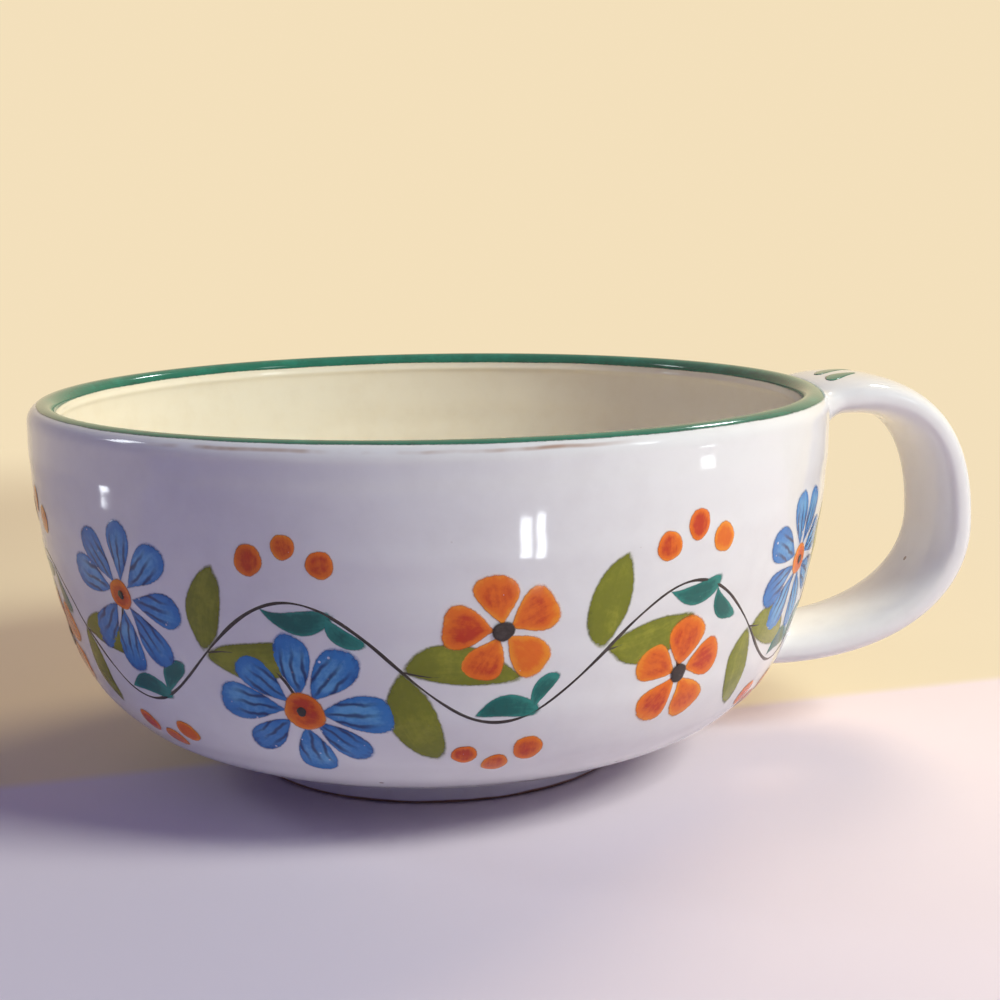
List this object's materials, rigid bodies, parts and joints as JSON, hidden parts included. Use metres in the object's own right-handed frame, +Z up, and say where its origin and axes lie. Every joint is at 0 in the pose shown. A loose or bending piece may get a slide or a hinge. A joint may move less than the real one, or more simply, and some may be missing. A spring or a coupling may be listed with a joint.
{
  "type": "soup mug",
  "caption": "Wide round soup mug: thrown bowl on a foot ring with a strap handle, white glaze, a coloured band over the lip and brush strokes on the handle.",
  "frame": {"origin": "centre of the foot ring's standing face, on the bowl's axis", "axes": "+Z up along the bowl's axis, +X towards the handle"},
  "size_m": [0.171, 0.1414, 0.0674],
  "materials": {
    "clay": "matt fired clay",
    "foot_clay": "thinly glazed clay, bare where it stands",
    "joint_clay": "gloss",
    "cream_glaze": "gloss",
    "white_glaze": "gloss",
    "green_colour": "gloss"
  },
  "bodies": {
    "root": {"bowl": "clay", "foot_ring": "foot_clay", "handle": "clay", "upper_joint": "joint_clay", "lower_joint": "joint_clay", "inner_glaze": "cream_glaze", "outer_glaze": "white_glaze", "handle_glaze": "white_glaze", "rim_band": "green_colour", "handle_strokes": "green_colour"}
  },
  "joints": []
}
